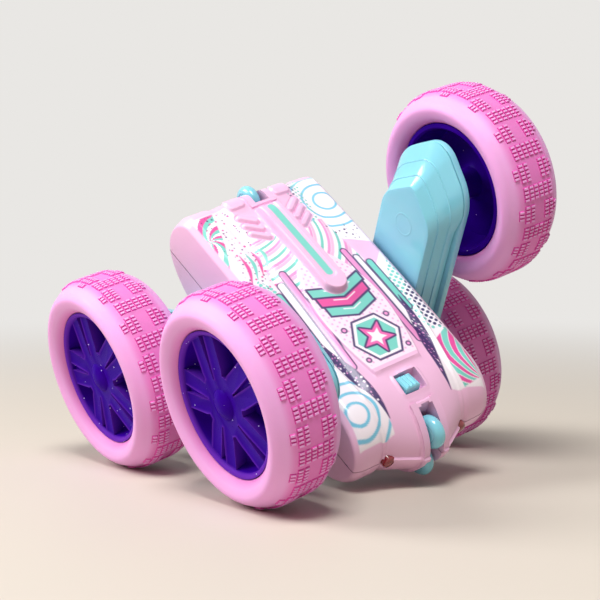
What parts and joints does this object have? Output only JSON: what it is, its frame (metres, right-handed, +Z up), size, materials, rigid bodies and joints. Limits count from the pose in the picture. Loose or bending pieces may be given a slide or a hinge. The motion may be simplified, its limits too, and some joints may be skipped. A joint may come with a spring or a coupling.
{
  "type": "rc stunt car",
  "caption": "Double-sided toy stunt car: a split body on a cross axis between two swinging gear arms, each with a driven balloon wheel at both ends, end rollers and a slide switch.",
  "frame": {"origin": "bottom centre of the standing car's bounding box", "axes": "+Z up, +X to the right along the cross axis' horizontal heading, +Y towards the front end"},
  "size_m": [0.1766, 0.166, 0.1468],
  "materials": {
    "pink_shell": "satin moulded",
    "print_white": "printed label",
    "mint_plastic": "glossy moulded",
    "tyre_pink": "soft satin vinyl",
    "hub_violet": "glossy with fine glitter",
    "lens_red": "clear dark red",
    "gear_white": "natural nylon",
    "motor_steel": "plated",
    "battery_wrap": "wrapped cells",
    "board_green": "solder mask",
    "switch_black": "moulded"
  },
  "bodies": {
    "chassis": {"battery_door": "pink_shell", "battery_pack": "battery_wrap", "circuit_board": "board_green", "deck_panel": "print_white", "front_lower_roller_pin": "motor_steel", "front_upper_roller_pin": "motor_steel", "left_gear_motor": "motor_steel", "left_tail_lens": "lens_red", "lower_shell": "pink_shell", "rear_lower_roller_pin": "motor_steel", "rear_upper_roller_pin": "motor_steel", "right_gear_motor": "motor_steel", "right_tail_lens": "lens_red", "shell_screw_1": "motor_steel", "shell_screw_2": "motor_steel", "shell_screw_3": "motor_steel", "shell_screw_4": "motor_steel", "switch_body": "switch_black", "upper_shell": "pink_shell"},
    "left_arm": {"left_arm_housing": "mint_plastic", "left_arm_cover": "mint_plastic", "left_front_arm_screw": "motor_steel", "left_rear_arm_screw": "motor_steel"},
    "left_drive": {"left_drive_shaft": "gear_white"},
    "left_front_idler": {"left_front_idler_gear": "gear_white"},
    "left_front_wheel": {"left_front_tyre": "tyre_pink", "left_front_hub": "hub_violet", "left_front_axle": "gear_white", "left_front_hub_cap": "hub_violet"},
    "left_rear_idler": {"left_rear_idler_gear": "gear_white"},
    "left_rear_wheel": {"left_rear_tyre": "tyre_pink", "left_rear_hub": "hub_violet", "left_rear_axle": "gear_white", "left_rear_hub_cap": "hub_violet"},
    "right_arm": {"right_arm_housing": "mint_plastic", "right_arm_cover": "mint_plastic", "right_front_arm_screw": "motor_steel", "right_rear_arm_screw": "motor_steel"},
    "right_drive": {"right_drive_shaft": "gear_white"},
    "right_front_idler": {"right_front_idler_gear": "gear_white"},
    "right_front_wheel": {"right_front_tyre": "tyre_pink", "right_front_hub": "hub_violet", "right_front_axle": "gear_white", "right_front_hub_cap": "hub_violet"},
    "right_rear_idler": {"right_rear_idler_gear": "gear_white"},
    "right_rear_wheel": {"right_rear_tyre": "tyre_pink", "right_rear_hub": "hub_violet", "right_rear_axle": "gear_white", "right_rear_hub_cap": "hub_violet"},
    "rear_upper_roller": {"rear_upper_roller": "mint_plastic"},
    "rear_lower_roller": {"rear_lower_roller": "mint_plastic"},
    "front_upper_roller": {"front_upper_roller": "mint_plastic"},
    "front_lower_roller": {"front_lower_roller": "mint_plastic"},
    "switch": {"switch_slider": "mint_plastic"}
  },
  "joints": [
    {"name": "left_arm_swing", "type": "hinge", "parent": "chassis", "child": "left_arm", "pos_m": [-0.00513, 0, 0.05572], "axis": [-0.9604, 0, -0.2785], "continuous": true},
    {"name": "left_drive_spin", "type": "hinge", "parent": "left_arm", "child": "left_drive", "pos_m": [-0.00513, 0, 0.05572], "axis": [-0.9604, 0, -0.2785], "continuous": true},
    {"name": "left_front_idler_spin", "type": "hinge", "parent": "left_arm", "child": "left_front_idler", "pos_m": [-0.00513, 0.02423, 0.05572], "axis": [-0.9604, 0, -0.2785], "continuous": true},
    {"name": "left_front_wheel_spin", "type": "hinge", "parent": "left_arm", "child": "left_front_wheel", "pos_m": [-0.06617, 0.045, 0.03802], "axis": [-0.9604, 0, -0.2785], "continuous": true},
    {"name": "left_rear_idler_spin", "type": "hinge", "parent": "left_arm", "child": "left_rear_idler", "pos_m": [-0.00513, -0.02423, 0.05572], "axis": [-0.9604, 0, -0.2785], "continuous": true},
    {"name": "left_rear_wheel_spin", "type": "hinge", "parent": "left_arm", "child": "left_rear_wheel", "pos_m": [-0.06617, -0.045, 0.03802], "axis": [-0.9604, 0, -0.2785], "continuous": true},
    {"name": "right_arm_swing", "type": "hinge", "parent": "chassis", "child": "right_arm", "pos_m": [-0.00513, 0, 0.05572], "axis": [0.9604, 0, 0.2785], "continuous": true},
    {"name": "right_drive_spin", "type": "hinge", "parent": "right_arm", "child": "right_drive", "pos_m": [-0.00513, 0, 0.05572], "axis": [0.9604, 0, 0.2785], "continuous": true},
    {"name": "right_front_idler_spin", "type": "hinge", "parent": "right_arm", "child": "right_front_idler", "pos_m": [0.0004, 0.0139, 0.03665], "axis": [0.9604, 0, 0.2785], "continuous": true},
    {"name": "right_front_wheel_spin", "type": "hinge", "parent": "right_arm", "child": "right_front_wheel", "pos_m": [0.06618, 0.02581, 0.03802], "axis": [0.9604, 0, 0.2785], "continuous": true},
    {"name": "right_rear_idler_spin", "type": "hinge", "parent": "right_arm", "child": "right_rear_idler", "pos_m": [-0.01066, -0.0139, 0.07478], "axis": [0.9604, 0, 0.2785], "continuous": true},
    {"name": "right_rear_wheel_spin", "type": "hinge", "parent": "right_arm", "child": "right_rear_wheel", "pos_m": [0.04564, -0.02581, 0.10882], "axis": [0.9604, 0, 0.2785], "continuous": true},
    {"name": "rear_upper_roller_spin", "type": "hinge", "parent": "chassis", "child": "rear_upper_roller", "pos_m": [0.00507, -0.05367, 0.02055], "axis": [0.9604, 0, 0.2785], "continuous": true},
    {"name": "rear_lower_roller_spin", "type": "hinge", "parent": "chassis", "child": "rear_lower_roller", "pos_m": [0.00834, -0.04339, 0.00928], "axis": [0.9604, 0, 0.2785], "continuous": true},
    {"name": "front_upper_roller_spin", "type": "hinge", "parent": "chassis", "child": "front_upper_roller", "pos_m": [-0.01845, 0.02925, 0.10163], "axis": [0.9604, 0, 0.2785], "continuous": true},
    {"name": "front_lower_roller_spin", "type": "hinge", "parent": "chassis", "child": "front_lower_roller", "pos_m": [-0.01282, 0.04294, 0.08224], "axis": [0.9604, 0, 0.2785], "continuous": true},
    {"name": "switch_slide", "type": "slide", "parent": "chassis", "child": "switch", "axis": [0.9604, 0, 0.2785], "range_m": [0, 0.0026]}
  ],
  "couplings": [
    {"joint": "left_front_idler_spin", "follows": "left_front_wheel_spin", "ratio": -0.71429},
    {"joint": "left_drive_spin", "follows": "left_front_wheel_spin", "ratio": 0.71429},
    {"joint": "left_rear_idler_spin", "follows": "left_front_wheel_spin", "ratio": -0.71429},
    {"joint": "left_rear_wheel_spin", "follows": "left_front_wheel_spin", "ratio": 1},
    {"joint": "right_front_idler_spin", "follows": "right_front_wheel_spin", "ratio": -0.71429},
    {"joint": "right_drive_spin", "follows": "right_front_wheel_spin", "ratio": 0.71429},
    {"joint": "right_rear_idler_spin", "follows": "right_front_wheel_spin", "ratio": -0.71429},
    {"joint": "right_rear_wheel_spin", "follows": "right_front_wheel_spin", "ratio": 1}
  ]
}
